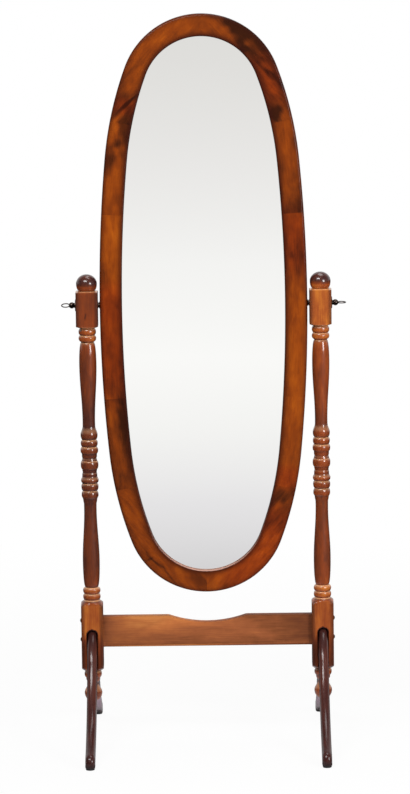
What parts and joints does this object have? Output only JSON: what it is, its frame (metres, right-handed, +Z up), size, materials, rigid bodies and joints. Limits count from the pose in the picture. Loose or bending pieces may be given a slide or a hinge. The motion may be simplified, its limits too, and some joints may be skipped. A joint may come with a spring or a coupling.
{
  "type": "floor mirror",
  "caption": "Free-standing oval dressing mirror: a segmented wooden oval frame tilts between turned posts, which a scooped stretcher joins, on curved splayed legs with ring-headed pivot screws.",
  "frame": {"origin": "centre of the footprint on the floor, below the middle of the stretcher", "axes": "+Z up; -Y is the way the glass faces, so a viewer in front looks along +Y and has +X to the right"},
  "size_m": [0.5824, 0.4988, 1.503],
  "materials": {
    "frame_wood": "stained orange-brown under gloss lacquer",
    "post_wood": "stained red-brown under gloss lacquer",
    "stretcher_wood": "stained orange-brown, darker at the ends, under gloss lacquer",
    "leg_wood": "stained dark red-brown under gloss lacquer",
    "dowel_wood": "bare beech",
    "panel_board": "smooth brown hardboard",
    "mirror_glass": "silvered float glass",
    "dark_bronze": "dark bronze, half gloss",
    "zinc_steel": "zinc plated",
    "insert_brass": "plain brass",
    "glide_plastic": "black, matt"
  },
  "bodies": {
    "stand": {"left_post": "post_wood", "right_post": "post_wood", "stretcher": "stretcher_wood", "stretcher_bolts": "dark_bronze", "stretcher_barrel_nuts": "zinc_steel", "front_left_leg": "leg_wood", "front_right_leg": "leg_wood", "rear_left_leg": "leg_wood", "rear_right_leg": "leg_wood", "leg_dowels": "dowel_wood", "foot_glides": "glide_plastic", "left_pivot_spacer": "dark_bronze", "right_pivot_spacer": "dark_bronze"},
    "mirror": {"frame_left_middle": "frame_wood", "frame_right_middle": "frame_wood", "frame_left_upper": "frame_wood", "frame_right_upper": "frame_wood", "frame_left_lower": "frame_wood", "frame_right_lower": "frame_wood", "frame_top_left": "frame_wood", "frame_top_right": "frame_wood", "frame_bottom_left": "frame_wood", "frame_bottom_right": "frame_wood", "frame_dowels": "dowel_wood", "mirror_glass": "mirror_glass", "back_panel": "panel_board", "back_panel_screws": "zinc_steel", "left_threaded_insert": "insert_brass", "right_threaded_insert": "insert_brass"},
    "left_washer": {"left_washer": "dark_bronze"},
    "right_washer": {"right_washer": "dark_bronze"},
    "left_screw": {"left_thumb_screw": "dark_bronze", "left_screw_ring": "dark_bronze"},
    "right_screw": {"right_thumb_screw": "dark_bronze", "right_screw_ring": "dark_bronze"}
  },
  "joints": [
    {"name": "mirror_tilt", "type": "hinge", "parent": "stand", "child": "mirror", "pos_m": [0, 0, 0.913], "axis": [1, 0, 0], "continuous": true},
    {"name": "left_screw_slide", "type": "slide", "parent": "stand", "child": "left_washer", "axis": [-1, 0, 0], "range_m": [0, 0.0029]},
    {"name": "left_screw_turn", "type": "hinge", "parent": "left_washer", "child": "left_screw", "pos_m": [-0.26905, 0, 0.913], "axis": [-1, 0, 0], "range_deg": [0, 810]},
    {"name": "right_screw_slide", "type": "slide", "parent": "stand", "child": "right_washer", "axis": [1, 0, 0], "range_m": [0, 0.0029]},
    {"name": "right_screw_turn", "type": "hinge", "parent": "right_washer", "child": "right_screw", "pos_m": [0.26905, 0, 0.913], "axis": [1, 0, 0], "range_deg": [0, 810]}
  ],
  "couplings": [
    {"joint": "left_screw_slide", "follows": "left_screw_turn", "m_per_rad": 0.00019894},
    {"joint": "right_screw_slide", "follows": "right_screw_turn", "m_per_rad": 0.00019894}
  ]
}
